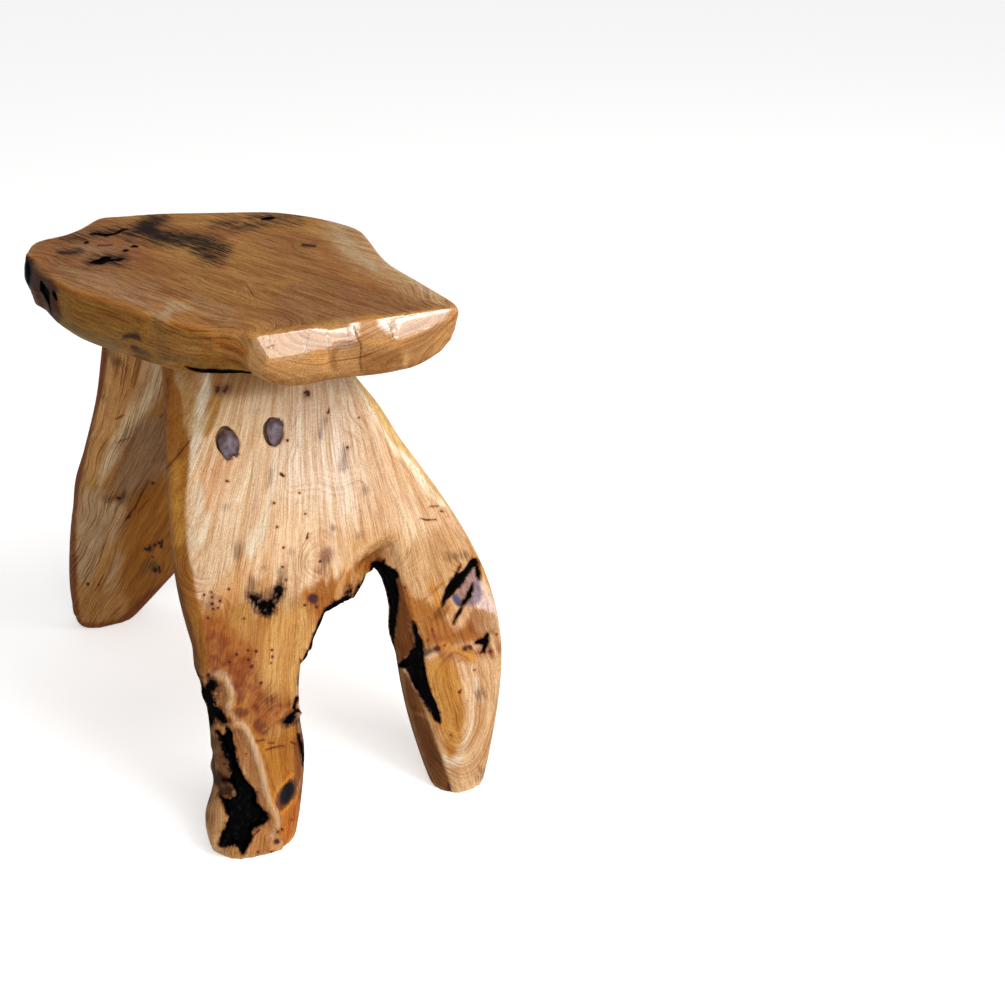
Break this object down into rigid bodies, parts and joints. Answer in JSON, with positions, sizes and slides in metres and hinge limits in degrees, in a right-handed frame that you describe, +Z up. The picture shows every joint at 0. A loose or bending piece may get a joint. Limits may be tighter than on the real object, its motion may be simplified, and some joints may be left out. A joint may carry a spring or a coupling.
{
  "type": "live edge bench",
  "caption": "Small live edge bench or stool: a thick natural-edge slab seat on two leaning forked slab legs, tied by a round stretcher.",
  "frame": {"origin": "on the floor, under the middle of the bench's bounding box", "axes": "+Z up through the flat top of the seat, -Y towards the front leg with the tall arch, +X along the width of the legs; the bench is longest along Y"},
  "size_m": [0.3324, 0.4844, 0.457],
  "materials": {
    "seat_wood": "clear gloss lacquer over brown figured slab wood with tan streaks and dark inclusions",
    "front_leg_wood": "clear gloss lacquer over pale tan wood, orange burl and black charred hollows towards the feet",
    "rear_leg_wood": "clear gloss lacquer over streaked tan wood with pin knots",
    "stretcher_wood": "clear satin lacquer over pale straight-grained wood",
    "plug_filler": "dark purple-brown filler under the lacquer",
    "screw_steel": "zinc-plated steel"
  },
  "bodies": {
    "root": {"seat": "seat_wood", "front_leg": "front_leg_wood", "rear_leg": "rear_leg_wood", "stretcher": "stretcher_wood", "front_plug_left": "plug_filler", "front_plug_right": "plug_filler", "rear_plug_left": "plug_filler", "rear_plug_right": "plug_filler", "front_screw_left": "screw_steel", "front_screw_right": "screw_steel", "rear_screw_left": "screw_steel", "rear_screw_right": "screw_steel"}
  },
  "joints": []
}
